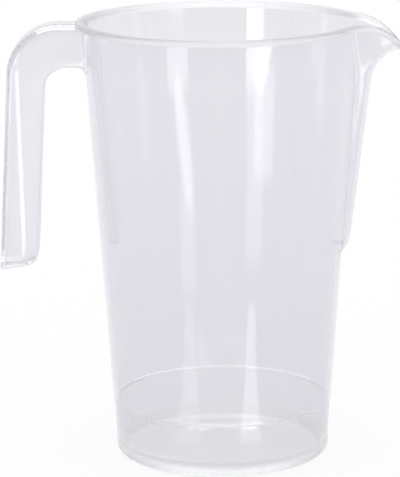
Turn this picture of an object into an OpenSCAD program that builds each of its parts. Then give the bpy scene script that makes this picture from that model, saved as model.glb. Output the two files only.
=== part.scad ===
// Clear pouring pitcher for beer: tapered round body, rolled rim, beaked spout
// with a long pouring channel, and an open hook handle.
// The base stands on z = 0, the body's axis is z, the spout points to +x.

/* [Body] */
// Height from the table to the top of the rim
pitcher_h = 200; // [180:1:230]
// Outer radius of the wall just under the rim
wall_top_r = 62; // [58:0.5:68]
// Outer radius of the wall at the ledge
wall_low_r = 50.4; // [46:0.2:54]
// Thickness of the wall
wall_t = 1.8; // [1.2:0.1:2.6]

/* [Rim] */
// How far the rim bead stands out from the wall
rim_out = 3.2; // [2.4:0.1:5]
// Height of the rim bead
rim_h = 3.5; // [2.5:0.1:5]
// Rounding of the bead's outer edges
rim_round = 1.1; // [0.4:0.1:1.2]

/* [Foot] */
// Height of the ledge where the wall meets the foot
ledge_z = 25.2; // [20:0.2:32]
// How far the ledge steps in
ledge_step = 0.7; // [0.3:0.1:1.2]
// Height of the ledge ring
ledge_h = 2.4; // [1.6:0.1:4]
// How far the foot's side narrows towards the table
foot_in = 0.8; // [0.3:0.1:3]
// Rounding of the foot's lower edge
foot_round = 4; // [3:0.1:5]
// Width of the flat ring that stands on the table
ring_w = 3.4; // [2:0.1:6]
// Thickness of the floor
floor_t = 2; // [1.4:0.1:2.6]
// Height of the floor's underside over the table
floor_lift = 1.2; // [0.6:0.1:1.6]

/* [Spout] */
// Half angle of the sector that the spout takes
spout_a = 30; // [28:1:34]
// Half width of the channel as an angle
channel_a = 9.6; // [8:0.1:12]
// Half width of the beak's lip as an angle
beak_a = 14.5; // [12:0.1:16]
// Height where the channel starts
channel_z = 95.2; // [80:0.2:120]
// Height of the rounded toe of the channel
toe_h = 6.5; // [4:0.5:10]
// How far the channel stands out above its toe
channel_low = 3.4; // [2:0.1:5]
// How far the channel stands out where the beak begins
channel_top = 7.5; // [6:0.1:9]
// Height over which the beak bends out, from the rim down
beak_h = 28; // [24:0.5:32]
// Radius of the bend under the beak
beak_bend = 16.4; // [14:0.2:18]
// Angle through which the beak bends out
beak_turn = 72; // [64:1:76]
// Bead left over at the tip of the beak
tip_out = 0.5; // [0.3:0.1:2]
// How sharply the lip drops towards the tip
lip_fall = 2.3; // [1.6:0.1:3]

/* [Handle] */
// Width of the handle
handle_w = 17; // [14:0.5:22]
// Thickness of the handle's walls
handle_t = 2.4; // [1.8:0.1:3]
// Rounding of the handle's outer edges
handle_round = 3.2; // [1.5:0.1:4]
// Height of the top of the arm below the rim's top
arm_sink = 0.6; // [0.3:0.1:1.5]
// Depth of the arm
arm_d = 19.4; // [16:0.2:22]
// Length of the arm, from the wall under the rim to the bend
arm_len = 10.7; // [9:0.1:18]
// Outer radius of the bend
bend_r = 23.5; // [22:0.5:26]
// Depth of the grip
grip_d = 17; // [15:0.5:18]
// Length of the grip's outer face below the bend
grip_len = 90.4; // [75:0.2:100]
// How far the grip leans outwards going down
grip_lean = 3.1; // [1:0.1:5]
// Inner radius of the hook
gap_r = 11; // [8:0.5:12]
// Rounding where the arm's underside meets the wall
root_r = 3.2; // [1:0.2:3.6]
// Slant of the grip's end
end_slant = 11; // [0:1:16]
// Rounding of the grip's inner end corner
end_r = 5; // [3:0.5:6]

/* [Hidden] */
$fn = 96;
clear = [0.89, 0.89, 0.91, 0.55];
bead_z = pitcher_h - rim_h;
rim_r = wall_top_r + rim_out;
wall_in_top = wall_top_r - wall_t;
wall_in_low = wall_low_r - wall_t;
skirt_r = wall_low_r - ledge_step;
skirt_z = ledge_z - ledge_h;
foot_r = skirt_r - foot_in;
floor_z = floor_lift + floor_t;
floor_r = foot_r - foot_round - ring_w;
ring_h = floor_z + foot_round;
beak_z = pitcher_h - beak_h;
arm_z = pitcher_h - arm_sink;
bend_x = wall_top_r + arm_len;
bend_z = arm_z - bend_r;
under_z = arm_z - arm_d;
grip_in = grip_d - bend_r;
stations = 40;
steps = 12;
toe_steps = 6;
run_steps = 10;
far = 2 * (bend_x + bend_r);

// Outer radius of the wall at height z
function wall_r(z) = wall_low_r + (wall_top_r - wall_low_r) * (z - ledge_z) / (bead_z - ledge_z);
// Share of the spout's push at angle a, from 1 in the middle to 0 at the sector's side
// u goes from 0 on the channel to 1 at the lip
function bump(a, u = 0) =
    exp(-pow(abs(a) / (channel_a + (beak_a - channel_a) * u), 2.2)) * (1 - pow(a / spout_a, 2));

// Centre of the bend under the beak, and the angle where the bend starts
beak_start = 174;
beak_x = wall_r(beak_z) + channel_top - beak_bend * cos(beak_start);
beak_y = beak_z - beak_bend * sin(beak_start);

// Points [r, z] of the channel's outer face at angle a: foot, toe, then the straight run
function toe_pt(a, k) =
    let (z = channel_z + toe_h * (1 - cos(k)))
    [wall_r(z) + bump(a) * channel_low * sin(k), z];
function run_pt(a, u) =
    let (z0 = channel_z + toe_h, z = z0 + (beak_z - z0) * u)
    [wall_r(z) + bump(a) * (channel_low + (channel_top - channel_low) * u), z];
// The same points moved in by the wall's thickness
function toe_in(a, k) =
    let (b = k == 0 ? 0 : (90 - k) * bump(a), p = toe_pt(a, k))
    [p[0] - wall_t * cos(b), p[1] + wall_t * sin(b)];
function run_in(a, u) = run_pt(a, u) - [wall_t, 0];
function channel_ring(a) = concat(
    [for (i = [0:toe_steps]) toe_pt(a, 90 * i / toe_steps)],
    [for (i = [1:run_steps]) run_pt(a, i / run_steps)],
    [for (i = [run_steps:-1:1]) run_in(a, i / run_steps)],
    [for (i = [toe_steps:-1:0]) toe_in(a, 90 * i / toe_steps)]);

// Points [r, z] of the beak at angle a, from the channel at u = 0 to the bead at u = 1
function beak_pt(a, u) =
    let (t = beak_start - beak_turn * u,
         zw = beak_z + (bead_z - beak_z) * u,
         w = bump(a, u),
         v = pow(w, 1 + (lip_fall - 1) * u))
    [wall_r(zw) + w * (beak_x + beak_bend * cos(t) - wall_r(zw)),
     zw + v * (beak_y + beak_bend * sin(t) - zw)];
function beak_in(a, u) =
    let (b = bump(a, u) * (180 - beak_start + beak_turn * u), p = beak_pt(a, u))
    u == 0 ? p - [wall_t, 0] : [p[0] - wall_t * cos(b), p[1] + wall_t * sin(b)];
function beak_ring(a) =
    let (p = beak_pt(a, 1), q = beak_in(a, 1),
         w = bump(a, 1),
         out = p[0] + (rim_r - wall_top_r) * (1 - w) + tip_out * w,
         c = min(rim_round, (out - p[0]) / 2))
    concat(
        [for (i = [0:steps]) beak_pt(a, i / steps)],
        [for (k = [-90:30:90]) [out - c + c * cos(k), p[1] + (k > 0 ? rim_h - c : c) + c * sin(k)]],
        [[q[0], p[1] + rim_h]],
        [for (i = [steps:-1:0]) beak_in(a, i / steps)]);

// Closed solid through one [r, z] outline per station of the spout's sector
// The outline's first w points face its last w points across the wall
module sector_solid(rings, w) {
    n = len(rings);
    m = len(rings[0]);
    angles = [for (i = [0:n - 1]) spout_a * (2 * i / (n - 1) - 1)];
    points = [for (i = [0:n - 1]) for (p = rings[i])
        [p[0] * cos(angles[i]), p[0] * sin(angles[i]), p[1]]];
    sides = [for (i = [0:n - 2]) for (j = [0:m - 1]) for (f = [0, 1])
        let (a = i * m + j, b = i * m + (j + 1) % m)
        f == 0 ? [a, b, b + m] : [a, b + m, a + m]];
    strip = [for (j = [0:w - 2]) for (f = [0, 1])
        f == 0 ? [j, m - 1 - j, j + 1] : [j + 1, m - 1 - j, m - 2 - j]];
    tip = m - w - 1;
    bead = m > 2 * w ? concat([[w - 1, m - w, tip]],
        [for (j = [w - 1:tip - 2]) [j, tip, j + 1]]) : [];
    first = concat(strip, bead);
    last = [for (t = first) (n - 1) * m * [1, 1, 1] + [t[0], t[2], t[1]]];
    polyhedron(points, concat(first, sides, last));
}
function station(i) = spout_a * (2 * i / stations - 1);

// Wedge over the spout's sector from height z0 to z1
module spout_wedge(z0, z1) {
    translate([0, 0, z0])
        linear_extrude(z1 - z0)
            polygon([[0, 0], far * [cos(spout_a), -sin(spout_a)], far * [1, -sin(spout_a)],
                     far * [1, sin(spout_a)], far * [cos(spout_a), sin(spout_a)]]);
}

// Outline of the rim bead from the radius inner outwards
module rim_outline(inner) {
    union() {
        translate([inner, bead_z])
            square([rim_r - rim_round - inner, rim_h]);
        translate([rim_r - 2 * rim_round, bead_z + rim_round])
            square([2 * rim_round, rim_h - 2 * rim_round]);
        for (z = [bead_z + rim_round, pitcher_h - rim_round])
            translate([rim_r - rim_round, z])
                circle(r = rim_round);
    }
}

module rim_bead() {
    color(clear)
        rotate([0, 0, spout_a])
            rotate_extrude(angle = 360 - 2 * spout_a)
                rim_outline(wall_in_top);
}

module body_wall() {
    color(clear)
        difference() {
            rotate_extrude()
                polygon([[wall_low_r, ledge_z], [wall_top_r, bead_z],
                         [wall_in_top, bead_z], [wall_in_low, ledge_z]]);
            spout_wedge(channel_z, bead_z + 1);
        }
}

// The step that stops a nested pitcher and stiffens the wall
module stacking_ledge() {
    color(clear)
        rotate_extrude()
            polygon([[wall_low_r, ledge_z], [wall_in_low, ledge_z],
                     [wall_in_low - ledge_step, ledge_z - ledge_step],
                     [skirt_r - wall_t, skirt_z], [skirt_r, skirt_z],
                     [skirt_r, ledge_z - ledge_step]]);
}

module foot_skirt() {
    color(clear)
        rotate_extrude()
            polygon([[skirt_r, skirt_z], [skirt_r - wall_t, skirt_z],
                     [foot_r - wall_t, ring_h], [foot_r, ring_h]]);
}

// Outside of the foot between the heights z0 and z1, filled to the axis
module foot_fill(z0, z1) {
    intersection() {
        union() {
            square([foot_r - foot_round, ring_h]);
            translate([0, foot_round])
                square([foot_r, floor_z]);
            translate([foot_r - foot_round, foot_round])
                circle(r = foot_round);
        }
        translate([0, z0])
            square([foot_r, z1 - z0]);
    }
}

// Flat ring that stands on the table
module foot_ring() {
    color(clear)
        rotate_extrude()
            difference() {
                foot_fill(0, floor_lift);
                square([floor_r, floor_lift]);
            }
}

// Floor with its rounded heel, up to the foot's side
module base_floor() {
    in_r = foot_r - wall_t - foot_round;
    color(clear)
        rotate_extrude()
            difference() {
                foot_fill(floor_lift, ring_h);
                translate([0, floor_z])
                    square([in_r, 2 * foot_round]);
                translate([in_r, ring_h])
                    circle(r = foot_round);
            }
}

module pouring_channel() {
    color(clear)
        sector_solid([for (i = [0:stations]) channel_ring(station(i))],
                     toe_steps + run_steps + 1);
}

module spout_beak() {
    color(clear)
        sector_solid([for (i = [0:stations]) beak_ring(station(i))], steps + 1);
}

// The space that the wall and the rim take up, filled to the axis
module body_fill() {
    rotate_extrude() {
        polygon([[0, ledge_z], [wall_low_r, ledge_z], [wall_top_r, bead_z], [0, bead_z]]);
        rim_outline(0);
    }
}

// Places a drawing of x and z in the plane y = 0 and gives it width w
module upright(w) {
    rotate([90, 0, 0])
        linear_extrude(w, center = true)
            children();
}

// Open space inside the hook, drawn in x and z
module finger_gap() {
    s = sin(grip_lean);
    c = cos(grip_lean);
    mid = [-bend_x + (grip_in + gap_r + (under_z - gap_r - bend_z) * s) / c, under_z - gap_r];
    side = mid + gap_r * [-c, s];
    foot = side - far * [s, c];
    root = -wall_r(under_z - root_r) - root_r;
    polygon([side, mid, [0, mid[1]], [0, foot[1]], foot]);
    translate(mid)
        circle(r = gap_r);
    translate(mid)
        square([root - mid[0], gap_r]);
    translate(mid)
        square([-mid[0], gap_r - root_r]);
    translate([root, under_z - root_r])
        circle(r = root_r);
}

// Section of the handle's outer side: height h, width w, two rounded corners
module round_top(w, h, r) {
    union() {
        translate([0, -w / 2 + r])
            square([h, w - 2 * r]);
        translate([0, -w / 2])
            square([h - r, w]);
        for (y = [-w / 2 + r, w / 2 - r])
            translate([h - r, y])
                circle(r = r);
    }
}

module handle_arm() {
    color(clear)
        difference() {
            intersection() {
                upright(handle_w)
                    difference() {
                        translate([-bend_x, bend_z])
                            square([bend_x, bend_r]);
                        finger_gap();
                    }
                translate([-bend_x, 0, arm_z - far])
                    rotate([0, 90, 0])
                        linear_extrude(bend_x)
                            rotate(180)
                                round_top(handle_w, far, handle_round);
            }
            translate([-bend_x - 1, -handle_w / 2 + handle_t, bend_z - far])
                cube([bend_x, handle_w - 2 * handle_t, bend_r + far - handle_t]);
            body_fill();
        }
}

module handle_bend() {
    color(clear)
        difference() {
            intersection() {
                upright(handle_w)
                    difference() {
                        translate([-bend_x, bend_z])
                            polygon([[0, 0], far * [0, 1], far * [-1, 1],
                                     far * [-cos(grip_lean), sin(grip_lean)]]);
                        finger_gap();
                    }
                translate([-bend_x, 0, bend_z])
                    rotate([90, 0, 0])
                        rotate_extrude()
                            round_top(handle_w, bend_r, handle_round);
            }
            translate([-bend_x, 0, bend_z])
                rotate([90, 0, 0])
                    cylinder(h = handle_w - 2 * handle_t, r = bend_r - handle_t, center = true);
        }
}

// Moves to the top of the grip, with z along the grip
module grip_frame() {
    translate([-bend_x, 0, bend_z])
        rotate([0, grip_lean, 0])
            children();
}

// Side view of the grip below the bend, down to its slanted end
module grip_outline() {
    mid = [grip_in - end_r,
           -grip_len + (grip_d - end_r) * tan(end_slant) + end_r / cos(end_slant)];
    turn = 90 - end_slant;
    polygon(concat([[-bend_r, 0], [grip_in, 0]],
        [for (i = [0:8]) mid + end_r * [cos(turn * i / 8), -sin(turn * i / 8)]],
        [[-bend_r, -grip_len]]));
}

// The grip's outside with its outer edges rounded
module grip_solid() {
    intersection() {
        upright(handle_w)
            grip_outline();
        translate([0, 0, -grip_len - 1])
            linear_extrude(grip_len + 1)
                mirror([1, 0])
                    round_top(handle_w, bend_r, handle_round);
    }
}

// Everything above the grip's closed end
module above_end() {
    rise = handle_t / cos(end_slant);
    upright(2 * handle_w)
        polygon([[-far, -grip_len + rise - (far - bend_r) * tan(end_slant)],
                 [far, -grip_len + rise + (far + bend_r) * tan(end_slant)],
                 [far, far], [-far, far]]);
}

module handle_grip() {
    color(clear)
        grip_frame()
            difference() {
                intersection() {
                    grip_solid();
                    above_end();
                }
                translate([-bend_r + handle_t, -handle_w / 2 + handle_t, -grip_len - 1])
                    cube([bend_r, handle_w - 2 * handle_t, grip_len + 2]);
            }
}

module handle_end() {
    color(clear)
        grip_frame()
            difference() {
                grip_solid();
                above_end();
            }
}

rim_bead();
body_wall();
stacking_ledge();
foot_skirt();
foot_ring();
base_floor();
pouring_channel();
spout_beak();
handle_arm();
handle_bend();
handle_grip();
handle_end();
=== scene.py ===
import math
import bpy
import numpy as np
from mathutils import Matrix, Vector


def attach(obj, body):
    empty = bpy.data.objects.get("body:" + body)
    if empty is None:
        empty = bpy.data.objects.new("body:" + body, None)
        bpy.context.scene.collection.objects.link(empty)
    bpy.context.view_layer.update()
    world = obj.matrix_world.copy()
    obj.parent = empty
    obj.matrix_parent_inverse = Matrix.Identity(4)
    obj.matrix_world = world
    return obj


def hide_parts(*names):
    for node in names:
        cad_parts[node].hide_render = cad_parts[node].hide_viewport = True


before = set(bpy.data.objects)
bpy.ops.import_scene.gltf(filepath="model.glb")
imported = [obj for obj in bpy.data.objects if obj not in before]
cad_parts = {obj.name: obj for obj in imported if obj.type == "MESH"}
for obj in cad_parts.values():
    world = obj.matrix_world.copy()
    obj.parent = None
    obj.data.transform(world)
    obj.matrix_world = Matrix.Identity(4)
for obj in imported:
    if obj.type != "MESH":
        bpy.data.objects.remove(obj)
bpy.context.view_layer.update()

scene = bpy.context.scene
scene.view_settings.view_transform = "Standard"
longPath, seeThrough = 512, 32             # bounces: light runs far along a clear wall
scene.cycles.max_bounces = longPath
scene.cycles.glossy_bounces = longPath
scene.cycles.transmission_bounces = longPath
scene.cycles.transparent_max_bounces = seeThrough
mm = 0.001
print("frame loaded")

cameraSetup = {
    "place": (0.0, -1.16908, 0.372007),    # metres, in front of the pitcher
    "pitch": 13.126,                       # degrees down
    "yaw": -0.479,
    "roll": -0.477,
    "lens": 198.03, "sensor": 36,          # millimetres
    "reach": 50,                           # metres
}


def axesMatrix(spot, x, y, z):
    return Matrix.Translation(spot) @ Matrix((x, y, z)).transposed().to_4x4()


def makeCamera(s):
    pitch, yaw, roll = (math.radians(s[k]) for k in ("pitch", "yaw", "roll"))
    level = math.cos(pitch)
    ahead = Vector((math.sin(yaw) * level, math.cos(yaw) * level, -math.sin(pitch)))
    right = Vector((math.cos(yaw), -math.sin(yaw), 0))
    up = right.cross(ahead)
    side = right * math.cos(roll) + up * math.sin(roll)
    top = up * math.cos(roll) - right * math.sin(roll)
    data = bpy.data.cameras.new("camera")
    data.sensor_width = s["sensor"]
    data.lens = s["lens"]
    data.clip_end = s["reach"]
    cam = bpy.data.objects.new("camera", data)
    cam.matrix_world = axesMatrix(s["place"], side, top, -ahead)
    scene.collection.objects.link(cam)
    scene.camera = cam


makeCamera(cameraSetup)
print("camera set")

studio = {
    "white": (1, 1, 1, 1),                 # behind the pitcher
    "room": (0.74, 0.745, 0.78, 1),        # round the sides and above
    "backdrop": (0.8, 0.95),               # how far round the white behind reaches
    "table": (0.91, 0.912, 0.94, 1),       # beside the white paper
    "paper": (0.97, 0.97, 0.97, 1),
    "paperEnd": (0.90, 0.90, 0.91, 1),     # far behind
    "endFrom": (1.0, 1.35),                # metres behind, where that end fades in
    "paperHalf": (0.05, 0.17),             # metres from the middle to where the paper fades
    "paperFade": 0.8,                      # as a share of that
    "paperFrom": (0.05, 0.45),             # how far behind the pitcher it is narrow and wide
    "paperWhite": 0.8,                     # share of plain white, the rest takes the shadow
    "paperGlow": 1.1,
    "floorHalf": 8.0,
    "lampDistance": 0.45,                  # from the pitcher's axis to a softbox
    "tableLampZ": 0.002,
}


def combine(nt, values, op="MAXIMUM"):
    total = values[0]
    for value in values[1:]:
        both = nt.nodes.new("ShaderNodeMath")
        both.operation = op
        nt.links.new(total, both.inputs[0])
        nt.links.new(value, both.inputs[1])
        total = both.outputs[0]
    return total


def remap(nt, value, span, to=(0, 1), soft=False):
    node = nt.nodes.new("ShaderNodeMapRange")
    node.interpolation_type = "SMOOTHSTEP" if soft else "LINEAR"
    node.inputs["From Min"].default_value, node.inputs["From Max"].default_value = span
    node.inputs["To Min"].default_value, node.inputs["To Max"].default_value = to
    nt.links.new(value, node.inputs["Value"])
    return node.outputs["Result"]


def splitXyz(nt, vector):
    split = nt.nodes.new("ShaderNodeSeparateXYZ")
    nt.links.new(vector, split.inputs[0])
    return split.outputs


def mixShaders(nt, share, first, second):
    mix = nt.nodes.new("ShaderNodeMixShader")
    if isinstance(share, float):
        mix.inputs["Fac"].default_value = share
    else:
        nt.links.new(share, mix.inputs["Fac"])
    nt.links.new(first, mix.inputs[1])
    nt.links.new(second, mix.inputs[2])
    return mix.outputs[0]


def makeWorld(s):
    world = bpy.data.worlds.new("studio")
    scene.world = world
    world.use_nodes = True
    nt = world.node_tree
    nt.nodes.clear()
    out = nt.nodes.new("ShaderNodeOutputWorld")
    white = nt.nodes.new("ShaderNodeBackground")
    white.inputs["Color"].default_value = s["white"]
    room = nt.nodes.new("ShaderNodeBackground")
    room.inputs["Color"].default_value = s["room"]
    aim = nt.nodes.new("ShaderNodeTexCoord").outputs["Generated"]
    behind = remap(nt, splitXyz(nt, aim)["Y"], s["backdrop"], soft=True)
    path = nt.nodes.new("ShaderNodeLightPath").outputs
    inPlastic = combine(nt, [path["Is Glossy Ray"], path["Is Transmission Ray"]])
    inPlastic = combine(nt, [inPlastic, behind], "MULTIPLY")
    seen = combine(nt, [path["Is Camera Ray"], inPlastic])
    mixed = mixShaders(nt, seen, room.outputs[0], white.outputs[0])
    nt.links.new(mixed, out.inputs["Surface"])


def paperShader(nt, colour, s):
    dull = nt.nodes.new("ShaderNodeBsdfDiffuse")
    dull.inputs["Color"].default_value = colour
    glow = nt.nodes.new("ShaderNodeEmission")
    glow.inputs["Color"].default_value = colour
    glow.inputs["Strength"].default_value = s["paperGlow"]
    return mixShaders(nt, s["paperWhite"], dull.outputs[0], glow.outputs[0])


def makeFloor(s):
    mesh = bpy.data.meshes.new("floor")
    w = s["floorHalf"]
    mesh.from_pydata([(-w, -w, 0), (w, -w, 0), (w, w, 0), (-w, w, 0)], [], [(0, 1, 2, 3)])
    floor = bpy.data.objects.new("floor", mesh)
    scene.collection.objects.link(floor)
    mat = bpy.data.materials.new("paleFloor")
    mat.use_nodes = True
    nt = mat.node_tree
    nt.nodes.clear()
    out = nt.nodes.new("ShaderNodeOutputMaterial")
    at = splitXyz(nt, nt.nodes.new("ShaderNodeTexCoord").outputs["Object"])
    side = nt.nodes.new("ShaderNodeMath")
    side.operation = "ABSOLUTE"
    nt.links.new(at["X"], side.inputs[0])
    half = remap(nt, at["Y"], s["paperFrom"], s["paperHalf"])
    across = combine(nt, [side.outputs[0], half], "DIVIDE")
    onPaper = remap(nt, across, (1 + s["paperFade"], 1), soft=True)
    atEnd = remap(nt, at["Y"], s["endFrom"], soft=True)
    path = nt.nodes.new("ShaderNodeLightPath").outputs
    paper, paperEnd, table = (paperShader(nt, s[k], s) for k in ("paper", "paperEnd", "table"))
    along = mixShaders(nt, atEnd, paper, paperEnd)
    beside = mixShaders(nt, onPaper, table, along)
    seen = mixShaders(nt, path["Is Camera Ray"], beside, paper)
    nt.links.new(seen, out.inputs["Surface"])
    mesh.materials.append(mat)


def addLamp(name, spot, width, tall, glow, shape="RECTANGLE"):
    data = bpy.data.lights.new(name, "AREA")
    data.shape = shape
    data.size = width
    data.size_y = tall
    data.energy = glow * math.pi * width * tall
    data.use_nodes = True
    nt = data.node_tree
    path = nt.nodes.new("ShaderNodeLightPath")
    mirrored = nt.nodes.new("ShaderNodeMath")     # shows in reflections, not through the plastic
    mirrored.operation = "GREATER_THAN"
    mirrored.inputs[1].default_value = 0.5        # at least one reflection
    nt.links.new(path.outputs["Glossy Depth"], mirrored.inputs[0])
    nt.links.new(mirrored.outputs[0], nt.nodes["Emission"].inputs["Strength"])
    lamp = bpy.data.objects.new(name, data)
    lamp.matrix_world = spot
    lamp.visible_camera = False
    lamp.visible_diffuse = False
    scene.collection.objects.link(lamp)
    return lamp


def softbox(name, azimuth, z, width, tall, glow, turn=0.0, shape="RECTANGLE",
            distance=studio["lampDistance"]):
    a = math.radians(azimuth)                     # from the front towards the spout
    spot = Vector((math.sin(a) * distance, -math.cos(a) * distance, z))
    face = Vector((-spot.x, -spot.y, 0)).to_track_quat("-Z", "Y").to_matrix()
    face = face @ Matrix.Rotation(math.radians(turn), 3, "Z")
    return addLamp(name, Matrix.Translation(spot) @ face.to_4x4(), width, tall, glow, shape)


def barLight(name, start, end, facing, width, glow):
    a, b = Vector(start), Vector(end)
    along, back = (b - a).normalized(), -Vector(facing).normalized()
    spot = axesMatrix((a + b) / 2, along.cross(back), along, back)
    return addLamp(name, spot, width, (b - a).length, glow)


def tableLight(name, start, end, width, glow):
    z = studio["tableLampZ"]
    return barLight(name, (*start, z), (*end, z), (0, 0, 1), width, glow)


def lightOnly(lamp, name, pieces):
    group = bpy.data.collections.new(name)
    for piece in pieces:
        group.objects.link(piece)
    lamp.light_linking.receiver_collection = group


makeWorld(studio)
makeFloor(studio)
softbox("leftBox", azimuth=-33.3, z=0.172, width=0.126, tall=0.066, glow=5.0)
softbox("leftBoxLow", azimuth=-34.6, z=0.066, width=0.190, tall=0.128, glow=1.6, distance=0.62)
softbox("rightBoxTop", azimuth=41.0, z=0.168, width=0.120, tall=0.042, glow=0.35)
softbox("rightBoxEdge", azimuth=41.3, z=0.193, width=0.120, tall=0.008, glow=3.0)
softbox("rightBoxMid", azimuth=37.5, z=0.102, width=0.062, tall=0.140, glow=3.0,
        turn=-61, shape="ELLIPSE")
softbox("rightBoxLow", azimuth=36.0, z=0.036, width=0.130, tall=0.070, glow=1.4)
softbox("sideRight", azimuth=82.0, z=0.127, width=0.065, tall=0.100, glow=0.6)
softbox("sideLeft", azimuth=-110.0, z=0.135, width=0.070, tall=0.066, glow=0.6)
barLight("overhead", (0, -0.65, 1.0), (0, 0.35, 1.0), (0, 0, -1), width=1.2, glow=3.5)
tableLight("frontRight", (0.030, -0.077), (0.111, -0.223), width=0.028, glow=1.5)
tableLight("frontLeft", (-0.036, -0.071), (-0.118, -0.215), width=0.034, glow=0.7)
handleBar = barLight("handleBar", (-0.150, -0.25, 0.146), (-0.0855, -0.25, 0.037), (0, 1, 0),
                     width=0.014, glow=7.0)
spoutGlow = tableLight("spoutGlow", (0.28, 0.055), (0.65, 0.144), width=0.035, glow=1.8)
ledgeGlow = tableLight("ledgeGlow", (-0.055, -0.085), (0.055, -0.085), width=0.06, glow=3.0)
print("studio set")

plasticLook = {
    "high": (0.889, 0.890, 0.911, 1),             # colour of a wall by height: darker towards the bottom, lighter again at the base floor
    "low": (0.843, 0.845, 0.87, 1),
    "bottom": (0.922, 0.924, 0.94, 1),
    "tall": 0.2,                                  # metres
    "bottomAt": 0.02, "lowAt": 0.05, "shoulderAt": 0.9,    # shares of that height
    "clear": 1.0,
    "ior": 1.49,
    "smooth": 0.05,
    "worn": 0.09,
    "grain": 60.0, "grainDetail": 3,
}
matteLook = {                                     # the core side of the handle isn't polished
    "smooth": 0.3, "worn": 0.4,
    "high": (0.97, 0.971, 0.98, 1), "low": (0.97, 0.971, 0.98, 1),
}
thickLook = {                                     # solid corners are hazier, and their colour is darker towards the bottom
    "smooth": 0.26, "worn": 0.34,
    "high": (0.962, 0.963, 0.972, 1),
    "low": (0.885, 0.887, 0.905, 1), "bottom": (0.885, 0.887, 0.905, 1),
}
hazyLook = {                                      # scuffed side of the foot
    "smooth": 0.12, "worn": 0.17,
    "low": (0.856, 0.858, 0.882, 1),
}
shadedBackLook = {                                      # back of the handle, darker at the top as painted shade that keeps the arm's outline
    "high": (0.82, 0.822, 0.84, 1),
    "shoulder": (0.91, 0.911, 0.93, 1),
    "low": (0.88, 0.881, 0.9, 1),
}


def clearPlastic(name, changes):
    s = {**plasticLook, **changes}
    mat = bpy.data.materials.new(name)
    mat.use_nodes = True
    nt = mat.node_tree
    b = nt.nodes["Principled BSDF"]
    b.inputs["Base Color"].default_value = s["low"]
    b.inputs["Transmission Weight"].default_value = s["clear"]
    b.inputs["IOR"].default_value = s["ior"]
    coords = nt.nodes.new("ShaderNodeTexCoord").outputs["Object"]
    noise = nt.nodes.new("ShaderNodeTexNoise")
    noise.inputs["Scale"].default_value = s["grain"]
    noise.inputs["Detail"].default_value = s["grainDetail"]
    nt.links.new(coords, noise.inputs["Vector"])
    tint = nt.nodes.new("ShaderNodeValToRGB")
    steps = tint.color_ramp.elements
    steps[0].position, steps[0].color = s["bottomAt"], s["bottom"]
    steps[1].position, steps[1].color = 1.0, s["high"]
    steps.new(s["lowAt"]).color = s["low"]
    if "shoulder" in s:
        steps.new(s["shoulderAt"]).color = s["shoulder"]
    height = remap(nt, splitXyz(nt, coords)["Z"], (0, s["tall"]))
    nt.links.new(height, tint.inputs["Fac"])
    nt.links.new(tint.outputs["Color"], b.inputs["Base Color"])
    rough = remap(nt, noise.outputs["Fac"], (0, 1), (s["smooth"], s["worn"]))
    nt.links.new(rough, b.inputs["Roughness"])
    return mat


def joinFace():
    mat = bpy.data.materials.new("joinFace")      # where two regions of the moulding meet
    mat.use_nodes = True
    mat.node_tree.nodes["Principled BSDF"].inputs["Alpha"].default_value = 0.0
    return mat


skin, join, matte, thick, hazy, shadedBack = range(6)   # material slots of every piece
slots = [
    clearPlastic("clearPlastic", {}),
    joinFace(),
    clearPlastic("mattePlastic", matteLook),
    clearPlastic("thickPlastic", thickLook),
    clearPlastic("hazyPlastic", hazyLook),
    # the handle's back: clear plastic darkened at the top as painted shade
    clearPlastic("shadedBackPlastic", shadedBackLook),
]
print("plastic made")

body = {                                          # millimetres
    "wallTop": 62.0, "wallLow": 50.4, "wall": 1.8,
    "ledgeZ": 25.2, "beadZ": 196.5, "rimTop": 199.98,
    "rimR": 65.18, "lipJoinZ": 197.0, "lipTall": 2.0, "lipFillet": 0.5, "mouthRound": 0.5,
    "skirtZ": 22.8, "skirtR": 49.7, "heelZ": 7.2, "footR": 48.9, "footRound": 4.0,
    "ringIn": 41.5, "ringRound": 0.3, "liftZ": 1.2, "floorZ": 3.2,
    "stepTurn": 75.0, "joinZ": 26.0,              # the ledge's step turns by degrees
    "segments": 240, "longest": 14.0,             # round the body, and along a straight side
    "arcSteps": 8, "filletSteps": 6, "noseSteps": 16, "ringSteps": 4,
}


def wallR(z):
    s = body
    up = (z - s["ledgeZ"]) / (s["beadZ"] - s["ledgeZ"])
    return s["wallLow"] + (s["wallTop"] - s["wallLow"]) * up


def line(p, q, slot=skin):
    p, q = np.array(p, float), np.array(q, float)
    n = max(1, math.ceil(np.linalg.norm(q - p) / body["longest"]))
    d = (q - p) / np.linalg.norm(q - p)
    normal = np.array((d[1], -d[0]))              # the solid lies to the left
    ends = [p + (q - p) * i / n for i in range(n + 1)]
    return [(ends[i], ends[i + 1], normal, normal, slot) for i in range(n)]


def arc(centre, radius, start, stop, slot=skin, steps=body["arcSteps"]):
    side = 1 if stop > start else -1
    angles = np.radians(np.linspace(start, stop, steps + 1))
    rays = [np.array((math.cos(a), math.sin(a))) for a in angles]
    ends = [np.array(centre) + radius * r for r in rays]
    return [(ends[i], ends[i + 1], side * rays[i], side * rays[i + 1], slot)
            for i in range(steps)]


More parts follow.
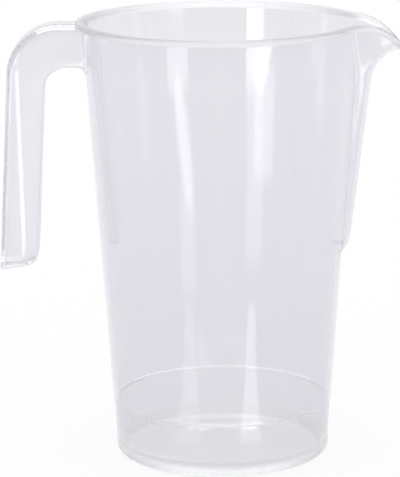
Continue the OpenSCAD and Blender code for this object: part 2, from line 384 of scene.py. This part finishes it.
def latheTree():
    tree = bpy.data.node_groups.new("lathe", "GeometryNodeTree")
    face = tree.interface
    face.new_socket("Profile", in_out="INPUT", socket_type="NodeSocketGeometry")
    inputs = {"Points": "Int", "Segments": "Int", "Start": "Float", "Plastic": "Material"}
    for name, kind in inputs.items():
        face.new_socket(name, in_out="INPUT", socket_type="NodeSocket" + kind)
    face.new_socket("Piece", in_out="OUTPUT", socket_type="NodeSocketGeometry")
    n, link = tree.nodes, tree.links.new
    into, out = n.new("NodeGroupInput").outputs, n.new("NodeGroupOutput")

    def calc(op, a, b=0):
        m = n.new("ShaderNodeMath")
        m.operation = op
        for i, v in enumerate((a, b)):
            if isinstance(v, (int, float)):
                m.inputs[i].default_value = v
            else:
                link(v, m.inputs[i])
        return m.outputs[0]

    sheet = n.new("GeometryNodeMeshGrid")
    link(calc("ADD", into["Segments"], 1), sheet.inputs["Vertices X"])
    link(into["Points"], sheet.inputs["Vertices Y"])
    index = n.new("GeometryNodeInputIndex").outputs[0]
    column = calc("FLOOR", calc("DIVIDE", calc("ADD", index, 0.5), into["Points"]))
    row = calc("SUBTRACT", index, calc("MULTIPLY", column, into["Points"]))
    turn = calc("DIVIDE", calc("MULTIPLY", column, 2 * math.pi), into["Segments"])
    turn = calc("ADD", turn, into["Start"])
    pick = n.new("GeometryNodeSampleIndex")
    pick.data_type = "FLOAT_VECTOR"
    link(into["Profile"], pick.inputs["Geometry"])
    link(n.new("GeometryNodeInputPosition").outputs[0], pick.inputs["Value"])
    link(row, pick.inputs["Index"])
    parts = n.new("ShaderNodeSeparateXYZ")
    link(pick.outputs[0], parts.inputs[0])
    spun = n.new("ShaderNodeCombineXYZ")
    link(calc("MULTIPLY", parts.outputs["X"], calc("COSINE", turn)), spun.inputs["X"])
    link(calc("MULTIPLY", parts.outputs["X"], calc("SINE", turn)), spun.inputs["Y"])
    link(parts.outputs["Z"], spun.inputs["Z"])
    move = n.new("GeometryNodeSetPosition")
    link(sheet.outputs["Mesh"], move.inputs["Geometry"])
    link(spun.outputs[0], move.inputs["Position"])
    weld = n.new("GeometryNodeMergeByDistance")   # closes the seam and the poles
    weld.inputs["Distance"].default_value = 2e-6
    link(move.outputs[0], weld.inputs["Geometry"])
    real = n.new("GeometryNodeRealizeInstances")
    link(weld.outputs[0], real.inputs[0])
    paint = n.new("GeometryNodeSetMaterial")
    link(real.outputs[0], paint.inputs["Geometry"])
    link(into["Plastic"], paint.inputs["Material"])
    link(paint.outputs[0], out.inputs[0])
    return tree


spin = latheTree()


def evaluated(obj):
    bpy.context.view_layer.update()
    graph = bpy.context.evaluated_depsgraph_get()
    return bpy.data.meshes.new_from_object(obj.evaluated_get(graph), depsgraph=graph)


def drop(obj):
    mesh = obj.data
    bpy.data.objects.remove(obj)
    bpy.data.meshes.remove(mesh)


def lathe(name, profile):
    points = [s[0] for s in profile] + [profile[-1][1]]
    edges = [(i, i + 1) for i in range(len(points) - 1)]
    mesh = bpy.data.meshes.new(name + "Profile")
    mesh.from_pydata([(p[0] * mm, 0, p[1] * mm) for p in points], edges, [])
    obj = bpy.data.objects.new(name + "Profile", mesh)
    scene.collection.objects.link(obj)
    mod = obj.modifiers.new("lathe", "NODES")
    mod.node_group = spin
    values = {"Points": len(points), "Segments": body["segments"],
              "Start": math.pi / body["segments"], "Plastic": slots[skin]}
    for item in spin.interface.items_tree:
        if item.item_type == "SOCKET" and item.name in values:
            mod[item.identifier] = values[item.name]
    result = evaluated(obj)
    result.name = name
    obj.modifiers.remove(mod)
    drop(obj)
    result.materials.clear()
    for m in slots:
        result.materials.append(m)
    return result


def cutBy(mesh, cutters):
    obj = bpy.data.objects.new("blank", mesh)
    scene.collection.objects.link(obj)
    for cutter in cutters:
        mod = obj.modifiers.new("cut", "BOOLEAN")
        mod.operation = "DIFFERENCE"
        mod.solver = "EXACT"
        mod.object = cutter
    result = evaluated(obj)
    result.name = mesh.name + "Cut"
    obj.modifiers.clear()
    drop(obj)
    return result


def shadeLathe(mesh, profile):
    starts, ends, first, last = (np.array([s[k] for s in profile]) for k in range(4))
    along = ends - starts
    length2 = (along ** 2).sum(axis=1)
    leanWeight, nearAxis = 2.0, 1e-6              # how much a face's lean decides its segment
    normals = []
    for face in mesh.polygons:
        pts = np.array([mesh.vertices[i].co for i in face.vertices]) / mm
        rz = np.stack((np.hypot(pts[:, 0], pts[:, 1]), pts[:, 2]), axis=1)
        middle = rz.mean(axis=0)
        facing = np.array(face.normal)
        spot = pts.mean(axis=0)
        out = np.array((spot[0], spot[1], 0)) / max(1e-9, math.hypot(spot[0], spot[1]))
        lean = np.array((facing @ out, facing[2]))
        t = np.clip(((middle - starts) * along).sum(axis=1) / length2, 0, 1)
        gap = np.linalg.norm(starts + along * t[:, None] - middle, axis=1)
        fit = gap + leanWeight * (1 - (first + last) @ lean / 2)
        k = int(np.argmin(fit))
        if face.material_index != join:
            face.material_index = profile[k][4]
        if face.material_index == join:
            face.use_smooth = False
            normals += [tuple(facing)] * len(face.vertices)
            continue
        face.use_smooth = True
        for p, flat in zip(pts, rz):
            s = float(np.clip((flat - starts[k]) @ along[k] / length2[k], 0, 1))
            n2 = first[k] * (1 - s) + last[k] * s
            ray = p[:2] / np.hypot(p[0], p[1]) if flat[0] > nearAxis else out[:2]
            n3 = np.array((n2[0] * ray[0], n2[0] * ray[1], n2[1]))
            normals.append(tuple(n3 / np.linalg.norm(n3)))
    mesh.normals_split_custom_set(normals)


def newDraft():
    return {"points": [], "lookup": {}, "faces": [], "normals": [], "slots": []}


def addPoint(draft, p):
    perMm = 1e4                                   # points on the same step are one
    key = tuple(int(round(c * perMm)) for c in p)
    if key not in draft["lookup"]:
        draft["lookup"][key] = len(draft["points"])
        draft["points"].append(tuple(float(c) * mm for c in p))
    return draft["lookup"][key]


def addFace(draft, points, normals, slot):
    ids = [addPoint(draft, p) for p in points]
    keep = [i for i in range(len(ids)) if ids[i] != ids[i - 1]]
    if len({ids[i] for i in keep}) < 3:
        return
    draft["faces"].append([ids[i] for i in keep])
    draft["normals"] += [tuple(float(c) for c in normals[i]) for i in keep]
    draft["slots"].append(slot)


def gridNormals(grid, ring=False, flip=False):
    du = np.gradient(grid, axis=0)
    if ring:
        core = grid[:, :-1]
        dv = np.roll(core, -1, axis=1) - np.roll(core, 1, axis=1)
        dv = np.concatenate((dv, dv[:, :1]), axis=1)
    else:
        dv = np.gradient(grid, axis=1)
    n = np.cross(du, dv)
    n /= np.maximum(np.linalg.norm(n, axis=2, keepdims=True), 1e-12)
    return -n if flip else n


def addGrid(draft, grid, slot=skin, flip=False, normals=None):
    if normals is None:
        normals = gridNormals(grid, flip=flip)
    for i in range(grid.shape[0] - 1):
        for j in range(grid.shape[1] - 1):
            at = [(i, j), (i + 1, j), (i + 1, j + 1), (i, j + 1)]
            if flip:
                at.reverse()
            own = slot if np.isscalar(slot) else slot[j]
            addFace(draft, [grid[a] for a in at], [normals[a] for a in at], own)


def addCap(draft, outline, slot=join, flip=False):
    outline = np.array(outline)
    if flip:
        outline = outline[::-1]
    n = np.zeros(3)
    for a, b in zip(outline, np.roll(outline, -1, axis=0)):
        n += np.cross(a, b)
    n /= np.linalg.norm(n)
    addFace(draft, outline, [n] * len(outline), slot)


def draftMesh(name, draft):
    mesh = bpy.data.meshes.new(name)
    mesh.from_pydata(draft["points"], [], draft["faces"])
    for m in slots:
        mesh.materials.append(m)
    for face, slot in zip(mesh.polygons, draft["slots"]):
        face.material_index = slot
        face.use_smooth = bool(slot != join)
    mesh.normals_split_custom_set(draft["normals"])
    return mesh


def place(name, mesh, node):
    mesh.name = name
    obj = bpy.data.objects.new(name, mesh)
    scene.collection.objects.link(obj)
    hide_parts(node)
    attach(obj, "root")
    return obj


def lipEnds(s):
    r, z = wallR(s["lipJoinZ"]), s["lipJoinZ"]
    return np.array((r, z)), np.array((r - s["wall"], z))


def lipParts(s):                                  # up the outside, over the nose, to the mouth
    top, fr, mr, few = s["rimTop"], s["lipFillet"], s["mouthRound"], s["filletSteps"]
    nose = s["lipTall"] / 2
    z = top - s["lipTall"]
    wall, inside = wallR(z - fr), wallR(top - mr) - s["wall"]
    return (line(lipEnds(s)[0], (wall, z - fr)),
            arc((wall + fr, z - fr), fr, 180, 90, steps=few),
            line((wall + fr, z), (s["rimR"] - nose, z)),
            arc((s["rimR"] - nose, top - nose), nose, -90, 90, steps=s["noseSteps"]),
            line((s["rimR"] - nose, top), (inside + mr, top)),
            arc((inside + mr, top - mr), mr, 90, 180, steps=few))


def makeProfiles(s):
    wall, seam = s["wall"], s["joinZ"]
    start, base = lipEnds(s)
    rim = line(base, start, join) + sum(lipParts(s), [])
    rim += line(rim[-1][1], base)
    rim = [seg[:4] + (thick if seg[4] == skin else seg[4],) for seg in rim]
    low = wallR(seam)
    side = (line((low, seam), start)
            + line(start, base, join)
            + line(base, (low - wall, seam))
            + line((low - wall, seam), (low, seam), join))
    turn = math.radians(s["stepTurn"])
    out, foot = s["wallLow"], s["skirtR"]
    r = (out - foot) / (2 * (1 - math.cos(turn)))
    z1, z0 = s["ledgeZ"], s["ledgeZ"] - 2 * r * math.sin(turn)
    step = (line((foot, s["skirtZ"]), (foot, z0))
            + arc((foot + r, z0), r, 180, 180 - s["stepTurn"])
            + arc((out - r, z1), r, -s["stepTurn"], 0)
            + line((out, z1), (low, seam))
            + line((low, seam), (low - wall, seam), join)
            + line((low - wall, seam), (out - wall, z1))
            + arc((out - wall - r, z1), r, 0, -s["stepTurn"])
            + arc((foot - wall + r, z0), r, 180 - s["stepTurn"], 180)
            + line((foot - wall, z0), (foot - wall, s["skirtZ"]))
            + line((foot - wall, s["skirtZ"]), (foot, s["skirtZ"]), join))
    heel, hr, footR = s["heelZ"], s["footRound"], s["footR"]
    skirt = (line((footR, heel), (foot, s["skirtZ"]), hazy)
             + line((foot, s["skirtZ"]), (foot - wall, s["skirtZ"]), join)
             + line((foot - wall, s["skirtZ"]), (footR - wall, heel), hazy)
             + line((footR - wall, heel), (footR, heel), join))
    lift, ringIn, rr = s["liftZ"], s["ringIn"], s["ringRound"]
    tilt = math.degrees(math.asin((lift - hr) / hr))
    edge = footR - hr + hr * math.cos(math.radians(tilt))
    floor = (line((0, lift), (ringIn, lift))
             + line((ringIn, lift), (edge, lift), join)
             + arc((footR - hr, hr), hr, tilt, 0, thick)
             + line((footR, hr), (footR, heel), thick)
             + line((footR, heel), (footR - wall, heel), join)
             + arc((footR - wall - hr, heel), hr, 0, -90, thick)
             + line((footR - wall - hr, heel - hr), (0, s["floorZ"])))
    ring = (line((ringIn + rr, 0), (footR - hr, 0), thick)
            + arc((footR - hr, hr), hr, -90, tilt, thick)
            + line((edge, lift), (ringIn, lift), join)
            + line((ringIn, lift), (ringIn, rr), thick)
            + arc((ringIn + rr, rr), rr, 180, 270, thick, steps=s["ringSteps"]))
    return {"rimBead": rim, "bodyWall": side, "stackingLedge": step,
            "footSkirt": skirt, "baseFloor": floor, "footRing": ring}


profiles = makeProfiles(body)

spout = {
    "half": 30.0, "channelA": 9.6, "beakA": 14.5,           # degrees round the body
    "bumpPower": 2.2,                                       # how square the ridge is
    "channelZ": 95.2, "toeH": 6.5, "low": 3.4, "top": 7.5,
    "beakZ": 172.0, "bendR": 16.4, "bendFrom": 174.0, "bendTurn": 72.0,
    "tipOut": 0.49, "tipTall": 3.5, "lipFall": 2.3,
    "stations": 80, "toeRows": 14, "runRows": 24, "beakRows": 24,
    "wedgeReach": 90, "wedgeTop": 210.0,                    # cut from the wall, past the rim
}


def makeSpout(s):
    a = np.linspace(-s["half"], s["half"], s["stations"] + 1)
    wall, lipZ = body["wall"], body["lipJoinZ"]

    def bump(u):
        wide = s["channelA"] + (s["beakA"] - s["channelA"]) * u
        return np.exp(-(np.abs(a) / wide) ** s["bumpPower"]) * (1 - (a / s["half"]) ** 2)

    outer, inner = [], []
    for k in np.linspace(0, 90, s["toeRows"] + 1):
        t = math.radians(k)
        z = s["channelZ"] + s["toeH"] * (1 - math.cos(t))
        r = wallR(z) + bump(0) * s["low"] * math.sin(t)
        b = np.radians((90 - k) * bump(0)) * (k > 0)
        outer.append((r, np.full_like(a, z)))
        inner.append((r - wall * np.cos(b), z + wall * np.sin(b)))
    z0 = s["channelZ"] + s["toeH"]
    for u in np.linspace(0, 1, s["runRows"] + 1)[1:]:
        z = z0 + (s["beakZ"] - z0) * u
        r = wallR(z) + bump(0) * (s["low"] + (s["top"] - s["low"]) * u)
        outer.append((r, np.full_like(a, z)))
        inner.append((r - wall, np.full_like(a, z)))
    split = len(outer) - 1                        # the beak starts at this row
    first = math.radians(s["bendFrom"])
    cx = wallR(s["beakZ"]) + s["top"] - s["bendR"] * math.cos(first)
    cz = s["beakZ"] - s["bendR"] * math.sin(first)
    for u in np.linspace(0, 1, s["beakRows"] + 1)[1:]:
        t = math.radians(s["bendFrom"] - s["bendTurn"] * u)
        zw = s["beakZ"] + (lipZ - s["beakZ"]) * u
        w = bump(u)
        v = w ** (1 + (s["lipFall"] - 1) * u)
        r = wallR(zw) + w * (cx + s["bendR"] * math.cos(t) - wallR(zw))
        z = zw + v * (cz + s["bendR"] * math.sin(t) - zw)
        b = np.radians(w * (180 - s["bendFrom"] + s["bendTurn"] * u))
        outer.append((r, z))
        inner.append((r - wall * np.cos(b), z + wall * np.sin(b)))

    def solid(rows):
        c, d = np.cos(np.radians(a)), np.sin(np.radians(a))
        grid = np.array([np.stack((r * c, r * d, z), axis=1) for r, z in rows])
        return grid.transpose(1, 0, 2)            # stations, then rows upwards

    w = bump(1)
    r, z = outer[-1]
    ri, zi = inner[-1]
    tall, out, back = s["tipTall"], s["tipOut"], ri - r
    crest = (out + back) / 2                      # the lip narrows to a rounded nose at the tip
    mouth = body["mouthRound"]
    start = lipEnds(body)[0]

    def blend(spot, tip):                         # from the rim's section to the tip's
        dr, dz = spot - start
        return r + dr * (1 - w) + tip[0] * w, z + dz * (1 - w) + tip[1] * w

    edge = []
    for part, segments in enumerate(lipParts(body)):
        for k, segment in enumerate(segments):
            t = k / len(segments) * math.pi
            if part < 3:
                tip = (0, 0)
            elif part == 3:
                side = math.cos(t - math.pi / 2)
                over = crest * (1 - side) if k > len(segments) / 2 else 0
                tip = (out * side + over, tall / 2 * (1 - math.cos(t)))
            elif part == 4:
                tip = (crest, tall)
            else:
                fall = mouth * (1 - math.cos(t / 2))
                tip = (crest + (back - crest) * math.sin(t / 2), tall - fall)
            edge.append(blend(segment[0], tip))
    edge.append(blend(segments[-1][1], (back, tall - mouth)))
    edge.append((ri, zi))
    o, i, e = solid(outer), solid(inner), solid(edge)
    on, inn = gridNormals(o), gridNormals(i, flip=True)
    channel = newDraft()
    addGrid(channel, o[:, :split + 1], normals=on[:, :split + 1])
    addGrid(channel, i[:, :split + 1], normals=inn[:, :split + 1], flip=True)
    addGrid(channel, np.stack((i[:, 0], o[:, 0]), axis=1), join)
    addGrid(channel, np.stack((o[:, split], i[:, split]), axis=1), join)
    addGrid(channel, np.stack((i[0, :split + 1], o[0, :split + 1]), axis=0), join)
    addGrid(channel, np.stack((o[-1, :split + 1], i[-1, :split + 1]), axis=0), join)
    beak = newDraft()
    addGrid(beak, o[:, split:], normals=on[:, split:])
    addGrid(beak, i[:, split:], normals=inn[:, split:], flip=True)
    addGrid(beak, np.stack((i[:, split], o[:, split]), axis=1), join)
    addGrid(beak, e, thick)
    for end, flip in ((0, False), (-1, True)):
        outline = np.concatenate((o[end, split:], e[end, 1:], i[end, split:-1][::-1]))
        addCap(beak, outline, flip=flip)
    return {"pouringChannel": (channel, "pouring_channel"), "spoutBeak": (beak, "spout_beak")}


def placeDrafts(drafts):
    return [place(name, draftMesh(name, draft), node) for name, (draft, node) in drafts.items()]


lightOnly(spoutGlow, "spoutPieces", placeDrafts(makeSpout(spout)))
print("spout made")

handle = {
    "width": 17.0, "wall": 2.2, "round": 3.2, "inRound": 1.4, "crown": 0.7,
    "topZ": 199.4, "bendX": -72.7, "bendR": 23.5,
    "gripDepth": 17.0, "gripLen": 90.4, "lean": 3.1,
    "gapR": 11.0, "underZ": 180.0, "rootR": 3.2, "wallX": -60.66,
    "slant": 11.0, "endR": 5.0, "endPlate": 2.4, "endRound": 1.0,
    "slantFrom": 12, "slantOver": 60, "slantPower": 1.5,    # rows tilt to meet the slanted end
    "outerSteps": (9, 9, 5), "innerSteps": (9, 7, 4),       # points on side, corner and back
    "tipSteps": 9,
    "armX": -66.5,                                          # where the rows are upright
    "armShares": (0.06, 0.13, 0.21, 0.3, 0.4, 0.52, 0.66, 0.82, 1),    # from the wall to there
    "armXs": (-67.5, -69.6, -70.7, -71.7),
    "bendRows": 24, "gripRows": (6, 28, 7), "endRows": (2.0, 1.6, 1.2), "endSteps": 5,
    "cornerGap": 0.4, "backGap": 0.1,                       # margins at the corner and back
}


def makeHandle(s):
    w, t, rr, ri = s["width"] / 2, s["wall"], s["round"], s["inRound"]
    lean = math.radians(s["lean"])
    cosL, sinL = math.cos(lean), math.sin(lean)
    c0 = np.array((s["bendX"], s["topZ"] - s["bendR"]))     # middle of the bend
    gripIn = s["gripDepth"] - s["bendR"]

    def leaned(x, v):
        return c0[0] + x * cosL + v * sinL, c0[1] - x * sinL + v * cosL

    # the finger gap's round top touches the underside of the arm and the inner face of the grip
    midZ = s["underZ"] - s["gapR"]
    mid = np.array((c0[0] + (gripIn + s["gapR"] + (midZ - c0[1]) * sinL) / cosL, midZ))
    toMid = mid - c0
    midV = toMid[0] * sinL + toMid[1] * cosL
    rootX = s["wallX"] - s["rootR"]

    def halfLoop(h, wide, back, radius, steps):             # side, corner and back, then mirrored
        down, corner, across = steps
        pts = [(wide, d) for d in np.linspace(h - t / 2, back + radius, down)]
        for a in np.radians(np.linspace(0, 90, corner))[1:]:
            y = wide - radius + radius * math.cos(a)
            pts.append((y, back + radius - radius * math.sin(a)))
        pts += [(y, back) for y in np.linspace(wide - radius, 0, across)[1:]]
        return pts + [(-y, d) for y, d in pts[::-1][1:]]

    def section(h):                                         # a channel, open towards the body
        def crowned(y, d):
            return (y * (1 - s["crown"] / w * (2 * d / h - 1) ** 2), d)
        outer = halfLoop(h, w, 0, rr, s["outerSteps"])
        inner = halfLoop(h, w - t, t, ri, s["innerSteps"])
        half = t / 2
        tip = [(w - half + half * math.cos(a), h - half + half * math.sin(a))
               for a in np.radians(np.linspace(0, 180, s["tipSteps"]))]
        other = [(-y, d) for y, d in tip]
        loop = outer + other[1:-1] + inner[::-1] + tip[::-1][1:-1] + outer[:1]
        return np.array([crowned(y, d) for y, d in loop]), len(outer), len(tip) - 2

    sample, nOut, nTip = section(s["gripDepth"])
    count = len(sample)

    def under(x):                                           # underside of the arm
        if x < mid[0]:
            return mid[1] + math.sqrt(max(0, s["gapR"] ** 2 - (x - mid[0]) ** 2))
        if x < rootX:
            return s["underZ"]
        into = min(s["rootR"], x - rootX)
        return s["underZ"] - s["rootR"] + math.sqrt(max(0, s["rootR"] ** 2 - into ** 2))

    bent = [seg[0] for part in lipParts(body)[:5] for seg in part]
    bent = [p for p in bent if p[0] >= wallR(p[1]) - 0.01]

    def skinR(z):                                           # outside of the wall and its rim
        if z < bent[0][1]:
            return wallR(z)
        return float(np.interp(z, [p[1] for p in bent], [p[0] for p in bent]))

    def armRow(xs):
        row = []
        for j in range(count):
            y, d = section(s["topZ"] - under(xs[j]))[0][j]
            row.append((xs[j], y, s["topZ"] - d))
        return np.array(row)

    onSkin = np.full(count, -body["wallTop"])
    for _ in range(4):                                      # settles on the skin
        row = armRow(onSkin)
        onSkin = np.array([-math.sqrt(skinR(p[2]) ** 2 - p[1] ** 2) for p in row])
    touch = armRow(onSkin)
    touch[:, 0] = onSkin
    buried = touch.copy()
    deep = body["wall"] / 2
    buried[:, 0] = [-math.sqrt((skinR(p[2]) - deep) ** 2 - p[1] ** 2) for p in touch]
    rows = [touch] + [armRow(onSkin + (s["armX"] - onSkin) * q) for q in s["armShares"]]
    socketRows = len(rows)
    rows += [armRow(np.full(count, x)) for x in sorted((mid[0], *s["armXs"]), reverse=True)]
    armEnd = len(rows)
    for tau in np.linspace(0, math.radians(90) - lean, s["bendRows"] + 1):
        e = np.array((-math.sin(tau), math.cos(tau)))
        b = e @ toMid
        reach = b + math.sqrt(b * b - toMid @ toMid + s["gapR"] ** 2)
        p = c0 + s["bendR"] * e
        loop = section(s["bendR"] - reach)[0]
        rows.append(np.array([(p[0] - e[0] * d, y, p[1] - e[1] * d) for y, d in loop]))
    bendEnd = len(rows) - 1
    slope = math.tan(math.radians(s["slant"]))
    cosS = math.cos(math.radians(s["slant"]))

    def gripRow(v0, inset=0.0):
        tilted = min(1, max(0, (-v0 - s["slantFrom"]) / s["slantOver"])) ** s["slantPower"]
        rise = (v0 + s["gripLen"]) * cosS                   # height above the slanted end
        x = gripIn
        if v0 > midV:
            x = gripIn + s["gapR"] - math.sqrt(s["gapR"] ** 2 - (v0 - midV) ** 2)
        h = x + s["bendR"]
        if rise < s["endR"]:
            h += math.sqrt(s["endR"] ** 2 - (s["endR"] - rise) ** 2) - s["endR"]
        pts = []
        for y, d in section(h)[0]:
            if inset:
                y, d = y * (1 - inset / w), inset + d * (1 - 2 * inset / h)
            x2, z2 = leaned(d - s["bendR"], v0 + d * slope * tilted)
            pts.append((x2, y, z2))
        return np.array(pts)

    tipV = -s["gripLen"]
    stops = (0, midV, tipV + (s["endR"] + s["cornerGap"]) / cosS, tipV + s["endPlate"] / cosS)
    for v0, v1, n in zip(stops, stops[1:], s["gripRows"]):
        rows += [gripRow(v) for v in np.linspace(v0, v1, n + 1)[1:]]
    gripEnd = len(rows) - 1
    rows += [gripRow(tipV + z / cosS) for z in s["endRows"]]
    er = s["endRound"]
    for b in np.radians(np.linspace(0, 90, s["endSteps"] + 1)):
        rows.append(gripRow(tipV + er * (1 - math.sin(b)) / cosS, er * (1 - math.cos(b))))
    grid = np.array(rows)
    normals = gridNormals(grid, ring=True)
    flip = normals[armEnd + 3, nOut // 2, 2] < 0            # the bend's back has to face up
    if flip:
        normals = -normals

    finish = np.full(count, skin)
    finish[nOut + nTip // 2:count - nTip // 2 - 1] = matte
    finish[sample[:, 1] < rr + s["backGap"]] = shadedBack         # the back, with its rounded edges, takes the colour with painted shade at the top

    def span(first, last):
        draft = newDraft()
        addGrid(draft, grid[first:last + 1], finish, normals=normals[first:last + 1], flip=flip)
        return draft

    arm = span(0, armEnd)
    addGrid(arm, np.array([touch, buried]), join, flip=not flip)
    addCap(arm, buried[:-1], flip=flip)
    addCap(arm, grid[armEnd][:-1], flip=not flip)
    bend = span(armEnd, bendEnd)
    addCap(bend, grid[armEnd][:-1], flip=flip)
    addCap(bend, grid[bendEnd][:-1], flip=not flip)
    grip = span(bendEnd, gripEnd)
    addCap(grip, grid[bendEnd][:-1], flip=flip)
    addCap(grip, grid[gripEnd][:-1], flip=not flip)
    # the end is solid: the outer outline only, closed across the open side
    end = newDraft()
    tail, tailN = grid[gripEnd:], normals[gripEnd:]
    shut = [count - 1 - nTip // 2 + i for i in range(nTip // 2)]
    ring = shut + list(range(nOut + nTip // 2 + 1))
    addGrid(end, tail[:, ring], shadedBack, normals=tailN[:, ring], flip=flip)
    addGrid(end, tail[:, [ring[-1], ring[0]]], shadedBack, flip=flip)
    addCap(end, tail[-1][ring], shadedBack, flip=not flip)
    addCap(end, tail[0][:-1], flip=flip)
    cavity = list(range(nOut + nTip // 2, count - nTip // 2))
    addCap(end, tail[0][cavity], matte, flip=not flip)
    socket = newDraft()                                     # cut from the wall and the rim
    cutRows = np.concatenate((grid[:socketRows][::-1], [buried]))
    addGrid(socket, cutRows, join, flip=not flip)
    addCap(socket, cutRows[0][:-1], flip=not flip)
    addCap(socket, cutRows[-1][:-1], flip=flip)
    return {"handleArm": (arm, "handle_arm"), "handleBend": (bend, "handle_bend"),
            "handleGrip": (grip, "handle_grip"), "handleEnd": (end, "handle_end")}, socket


handleDrafts, socketDraft = makeHandle(handle)
lightOnly(handleBar, "handlePieces", placeDrafts(handleDrafts))
print("handle made")


def wedgeDraft(s):
    draft = newDraft()
    far = s["wedgeReach"]
    wide = far * math.tan(math.radians(s["half"]))
    low = [(0, 0), (far, -wide), (far, wide)]
    floor = [(x, y, s["channelZ"]) for x, y in low]
    roof = [(x, y, s["wedgeTop"]) for x, y in low]
    addCap(draft, floor, flip=True)
    addCap(draft, roof)
    for i in range(3):
        j = (i + 1) % 3
        addCap(draft, [floor[i], floor[j], roof[j], roof[i]])
    return draft


def makeBody():
    cutters = []
    for name, draft in (("wedge", wedgeDraft(spout)), ("socket", socketDraft)):
        obj = bpy.data.objects.new(name, draftMesh(name, draft))
        scene.collection.objects.link(obj)
        cutters.append(obj)
    nodes = {"rimBead": "rim_bead", "bodyWall": "body_wall", "stackingLedge": "stacking_ledge",
             "footSkirt": "foot_skirt", "baseFloor": "base_floor", "footRing": "foot_ring"}
    made = {}
    for name, node in nodes.items():
        mesh = lathe(name, profiles[name])
        if name in ("rimBead", "bodyWall"):
            mesh = cutBy(mesh, cutters)
        shadeLathe(mesh, profiles[name])
        made[name] = place(name, mesh, node)
        print(name, len(mesh.polygons), "faces")
    for obj in cutters:
        drop(obj)
    return made


bodyPieces = makeBody()
lightOnly(ledgeGlow, "ledgePieces", [bodyPieces["stackingLedge"]])
print("body made")
